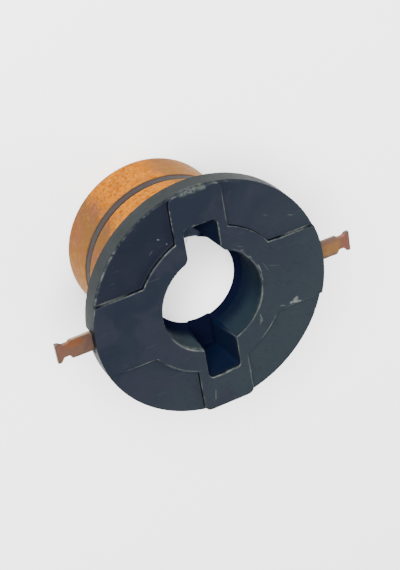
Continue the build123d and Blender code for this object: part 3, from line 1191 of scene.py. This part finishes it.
class PieceTree(Graph):
    """A geometry node tree with named inputs that makes one piece from them."""

    def __init__(self, name: str) -> None:
        """Starts a tree with a geometry input and output."""
        super().__init__(bpy.data.node_groups.new(name, "GeometryNodeTree"))
        for way in ("INPUT", "OUTPUT"):
            self.tree.interface.new_socket("Geometry", in_out=way, socket_type="NodeSocketGeometry")
        self.entry = self.tree.nodes.new("NodeGroupInput")
        self.values: dict[str, object] = {}

    def named(self, name: str, value: float | int | Material) -> Value:
        """Adds a named input, which the piece's modifier sets to the given value."""
        kinds = {int: "NodeSocketInt", float: "NodeSocketFloat", Material: "NodeSocketMaterial"}
        made = self.tree.interface.new_socket(name, in_out="INPUT", socket_type=kinds[type(value)])
        self.values[made.identifier] = value
        return Value(self, self.entry.outputs[name])

    def lengths(self, **sizes: float) -> list[Value]:
        """Adds a named input for each length in millimetres."""
        return [self.named(name.replace("_", " ").capitalize(), size * MM) for name, size in sizes.items()]

    def section(self, width: Value, height: Value, corner: Value, steps: int) -> Value:
        """Rectangle with round corners, as a curve."""
        plain = self.value("GeometryNodeCurvePrimitiveQuadrilateral", {"Width": width, "Height": height})
        return self.rounded(plain, corner, steps)

    def rounded(self, curve: Value, radius: Value, steps: int) -> Value:
        """Curve with its corners rounded in the given number of steps."""
        inputs = {"Curve": curve, "Count": steps, "Radius": radius}
        return self.value("GeometryNodeFilletCurve", inputs, mode="POLY")

    def resampled(self, curve: Value, count: int | Value) -> Value:
        """Curve with evenly spaced points."""
        return self.value("GeometryNodeResampleCurve", {"Curve": curve, "Count": count}, mode="COUNT")

    def swept(self, curve: Value, profile: Value) -> Value:
        """Closed skin of a profile that is swept along a curve."""
        inputs = {"Curve": curve, "Profile Curve": profile, "Fill Caps": True}
        return self.value("GeometryNodeCurveToMesh", inputs)

    def placed(self, geometry: Value, lift: Operand = 0.0, turn: float = 0.0) -> Value:
        """Geometry that is turned about Z, in degrees, and then lifted."""
        move = self.value("ShaderNodeCombineXYZ", {2: lift})
        inputs = {"Geometry": geometry, "Translation": move, "Rotation": (0.0, 0.0, radians(turn))}
        return self.value("GeometryNodeTransform", inputs)

    def apply(self, piece: Piece, parts: Sequence[Value], material: Material) -> None:
        """Ends the tree and turns its result into the piece's plain mesh.

        Args:
            piece: The object that carries the tree.
            parts: The geometry that makes up the piece.
            material: The piece's material.
        """
        joined = self.tree.nodes.new("GeometryNodeJoinGeometry")
        for part in parts:
            self.tree.links.new(part.socket, joined.inputs[0])
        solid = self.value("GeometryNodeRealizeInstances", {0: Value(self, joined.outputs[0])})
        inputs = {"Geometry": solid, "Material": self.named("Material", material)}
        self.node("NodeGroupOutput", {0: self.value("GeometryNodeSetMaterial", inputs)})
        modifier = piece.modifiers.new("piece", "NODES")
        modifier.node_group = self.tree
        for identifier, value in self.values.items():
            modifier[identifier] = value
        settle(piece)
        with opened(piece.data) as draft:
            bmesh.ops.remove_doubles(draft, verts=draft.verts, dist=WELD)
            bmesh.ops.recalc_face_normals(draft, faces=draft.faces)


@dataclass
class Ring:
    """One copper ring: a turned tube with round edges and four lengths of dovetail rib inside."""

    name: str
    node: str
    radius: float
    thickness: float = 2.8
    edge: float = 0.28
    rib_height: float = 1.2
    rib_root: float = 1.8
    rib_crest: float = 2.8
    rib_gap: float = 5.7
    rib_count: int = 4
    rib_steps: int = 48
    edge_steps: int = 4
    segments: int = 288

    def build(self, material: Material) -> Piece:
        """Makes the ring's mesh with geometry nodes.

        Args:
            material: The ring's material.

        Returns:
            The finished piece.
        """
        start, end = node_span(self.node)
        piece = new_piece(self.name, [(0.0, 0.0, 0.0)], [])
        tree = PieceTree(self.name)
        radius, thickness, width, edge, middle = tree.lengths(
            radius=self.radius,
            thickness=self.thickness,
            width=end - start,
            edge_radius=self.edge,
            middle_height=(start + end) / 2,
        )
        height, root, crest, gap = tree.lengths(
            rib_height=self.rib_height,
            rib_root_width=self.rib_root,
            rib_crest_width=self.rib_crest,
            rib_gap=self.rib_gap,
        )
        count = tree.named("Rib count", self.rib_count)
        steps = tree.named("Segments", self.segments)

        inputs = {"Resolution": steps, "Radius": radius - thickness * 0.5}
        circle = tree.value("GeometryNodeCurvePrimitiveCircle", inputs)
        tube = tree.swept(circle, tree.section(thickness, width, edge, self.edge_steps))

        spine = radius - thickness - height * 0.5
        quarter = 2 * pi / count
        blocked = gap / spine
        inputs = {"Height": height, "Bottom Width": root, "Top Width": crest, "Offset": 0.0}
        profile = tree.value("GeometryNodeCurvePrimitiveQuadrilateral", inputs, mode="TRAPEZOID")
        inputs = {"Resolution": self.rib_steps, "Radius": spine}
        inputs |= {"Start Angle": blocked * 0.5, "Sweep Angle": quarter - blocked}
        arc = tree.value("GeometryNodeCurveArc", inputs, mode="RADIUS")
        rib = tree.swept(arc, tree.placed(profile, turn=90.0))
        points = tree.value("GeometryNodePoints", {"Count": count})
        turn = tree.value("ShaderNodeCombineXYZ", {2: quarter * tree.value("GeometryNodeInputIndex")})
        inputs = {"Points": points, "Instance": rib, "Rotation": turn}
        ribs = tree.value("GeometryNodeInstanceOnPoints", inputs)
        tree.apply(piece, [tree.placed(part, middle) for part in (tube, ribs)], material)
        shade(piece)
        return piece


@dataclass
class StripLead:
    """A bent copper strip from a terminal in the rim to the inside of a ring."""

    name: str
    node: str
    route: Sequence[Point]
    side: float
    reach: float
    plane: float
    width: float = 3.7
    thickness: float = 0.8
    bend: float = 1.2
    edge: float = 0.12
    shallow_scoop: float = 1.45
    deep_scoop: float = 1.1
    shoulder: float = 26.4
    neck_start: float = 27.0
    neck_end: float = 27.8
    flare_end: float = 28.7
    tip_width: float = 3.9
    steps: int = 320
    bend_steps: int = 8
    edge_steps: int = 3
    section_points: int = 44
    wobble: float = 0.02
    dent: float = 0.03
    dented_length: float = 4.0

    def build(self, material: Material) -> Piece:
        """Makes the lead's mesh with geometry nodes that sweep the strip along its route.

        Args:
            material: The lead's material.

        Returns:
            The finished piece.
        """
        places = [(self.side * x, 0.0, z) for x, z in self.route]
        piece = new_piece(self.name, places, [], zip(range(len(places) - 1), range(1, len(places))))
        tree = PieceTree(self.name)
        width, thickness, bend, edge = tree.lengths(
            width=self.width, thickness=self.thickness, bend_radius=self.bend, edge_radius=self.edge
        )
        path = tree.value("GeometryNodeMeshToCurve", {0: Value(tree, tree.entry.outputs[0])})
        path = tree.resampled(tree.rounded(path, bend, self.bend_steps), tree.named("Steps", self.steps))
        section = tree.resampled(tree.section(width, thickness, edge, self.edge_steps), self.section_points)
        tree.apply(piece, [tree.swept(path, section)], material)
        self._stamp(piece)
        shade(piece)
        return piece

    def _stamp(self, piece: Piece) -> None:
        """Narrows the neck, flares the tip and makes the sheared edges a little uneven."""
        half = self.width / 2
        for vertex in piece.data.vertices:
            x, y, z = (value / MM for value in vertex.co)
            out = abs(x)
            edge = self._half_width(out, self.shallow_scoop if y > 0 else self.deep_scoop)
            wobble = 1.0 + self.wobble * noise.noise(Vector((x * 1.4, 0.0, self.side * 5.0)))
            dent = self.dent * noise.noise(Vector((x * 0.9, y * 0.9, self.side * 9.0)))
            vertex.co.y = y / half * edge * wobble * MM
            vertex.co.z = (z + (dent if out > self.shoulder - self.dented_length else 0.0)) * MM
        piece.data.update()

    def _half_width(self, out: float, scoop: float) -> float:
        """Half of the strip's width on one side at a distance from the axis.

        Args:
            out: The distance from the axis.
            scoop: Half of the neck's width on that side.

        Returns:
            The half width.
        """
        stops = [
            (self.shoulder, self.width / 2),
            (self.neck_start, scoop),
            (self.neck_end, scoop),
            (self.flare_end, self.tip_width / 2),
        ]
        if out <= self.shoulder:
            return self.width / 2
        for (start, first), (end, last) in zip(stops, stops[1:]):
            if out <= end:
                share = (out - start) / (end - start)
                return first + (last - first) * share * share * (3 - 2 * share)
        return self.tip_width / 2


@dataclass(frozen=True)
class Lamp:
    """A square soft light: where it is, what it points at, its side in millimetres and its watts."""

    name: str
    place: Triple
    target: Triple
    size: float
    power: float


@dataclass
class Studio:
    """Floor, lights, surroundings and camera."""

    camera_place: Triple = (-78.743, 136.737, 233.493)
    camera_back: Triple = (-0.300841, 0.519372, 0.799842)
    camera_up: Triple = (0.345541, 0.841070, -0.416177)
    focal_pixels: float = 1465.52
    image_height: int = 570
    sensor: float = 36.0
    floor_size: float = 3000.0
    surroundings: float = 0.6
    lamps: tuple[Lamp, ...] = (
        Lamp("key", (-206.0, 309.0, 540.0), (0.0, 0.0, 10.0), 430.0, 21.0),
        Lamp("fill", (420.0, -120.0, 260.0), (0.0, 0.0, 15.0), 300.0, 2.5),
    )

    def build_floor(self) -> None:
        """Makes the floor."""
        half = self.floor_size / 2
        corners = [(-half, -half, 0.0), (half, -half, 0.0), (half, half, 0.0), (-half, half, 0.0)]
        floor = new_piece("floor", corners, [(0, 1, 2, 3)])
        floor.data.materials.append(FloorFinish().material())

    def build_camera(self) -> None:
        """Makes the camera at the photograph's place, with its lens."""
        data = bpy.data.cameras.new("camera")
        data.sensor_width = self.sensor
        data.lens = self.sensor * self.focal_pixels / self.image_height
        data.clip_start = 0.01
        camera = add_object("camera", data)
        back = Vector(self.camera_back).normalized()
        right = Vector(self.camera_up).cross(back).normalized()
        turn = Matrix((right, back.cross(right), back)).transposed().to_4x4()
        camera.matrix_world = Matrix.Translation(Vector(self.camera_place) * MM) @ turn
        bpy.context.scene.camera = camera

    def build_lamp(self, lamp: Lamp) -> None:
        """Makes one soft light."""
        data = bpy.data.lights.new(lamp.name, "AREA")
        data.size = lamp.size * MM
        data.energy = lamp.power
        ray = Vector(lamp.target) - Vector(lamp.place)
        turn = ray.to_track_quat("-Z", "Y").to_matrix().to_4x4()
        add_object(lamp.name, data).matrix_world = Matrix.Translation(Vector(lamp.place) * MM) @ turn

    def build_surroundings(self) -> None:
        """Fills the surroundings with even pale light."""
        world = bpy.data.worlds.new("surroundings")
        world.use_nodes = True
        background = world.node_tree.nodes["Background"]
        background.inputs["Color"].default_value = (1.0, 1.0, 1.0, 1.0)
        background.inputs["Strength"].default_value = self.surroundings
        bpy.context.scene.world = world

    def build(self) -> None:
        """Makes everything round the object."""
        self.build_floor()
        self.build_camera()
        self.build_surroundings()
        for lamp in self.lamps:
            self.build_lamp(lamp)


def build_leads(reach: float, face: float, rear_ring: Span, front_ring: Span) -> None:
    """Builds both strip leads with their finish.

    Args:
        reach: How far the terminals stand out from the axis.
        face: The height of the flange face.
        rear_ring: The rear ring's ends along the axis.
        front_ring: The front ring's ends along the axis.
    """
    depth = 2.5
    pad_radius = 13.0
    run_radius = 11.659
    end_margin = 1.4
    insulation = 1.0
    plane = face - depth
    front_route = [(reach, plane), (pad_radius, plane), (pad_radius, front_ring[0] + end_margin)]
    rear_route = [
        (reach, plane),
        (run_radius, plane),
        (run_radius, front_ring[0] - insulation),
        (pad_radius, rear_ring[1] - insulation),
        (pad_radius, rear_ring[0] + end_margin),
    ]
    leads = [
        StripLead("front_lead_strip", "front_ring_lead", front_route, -1.0, reach, plane),
        StripLead("rear_lead_strip", "rear_ring_lead", rear_route, 1.0, reach, plane),
    ]
    rolled = StripFinish().material(leads[0])
    for lead in leads:
        hand_over(lead.build(rolled), rolled, "lead", lead.node)


def main() -> None:
    """Builds every piece of the part and the studio round it."""
    logging.basicConfig(level=logging.INFO, format="%(name)s %(message)s")
    rear_start, rear_end = node_span("rear_ring")
    front_start, front_end = node_span("front_ring")
    _, face = node_span("moulded_hub")
    ring_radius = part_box("rear_ring")[1][0] / MM

    hub = Hub(face, (rear_end, front_start), front_end, ring_radius)
    phenolic = PhenolicFinish().material(hub)
    hand_over(hub.build(), phenolic, "hub", "moulded_hub")
    hand_over(hub.build_gate_scar(), phenolic, "hub")

    turned = CopperFinish((rear_end, front_start), (rear_start, front_end)).material()
    for name, node in (("rear_ring_band", "rear_ring"), ("front_ring_band", "front_ring")):
        hand_over(Ring(name, node, ring_radius).build(turned), turned, "ring", node)

    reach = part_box("rear_ring_lead")[1][0] / MM
    build_leads(reach, face, (rear_start, rear_end), (front_start, front_end))
    Studio().build()


if __name__ == "__main__":
    main()
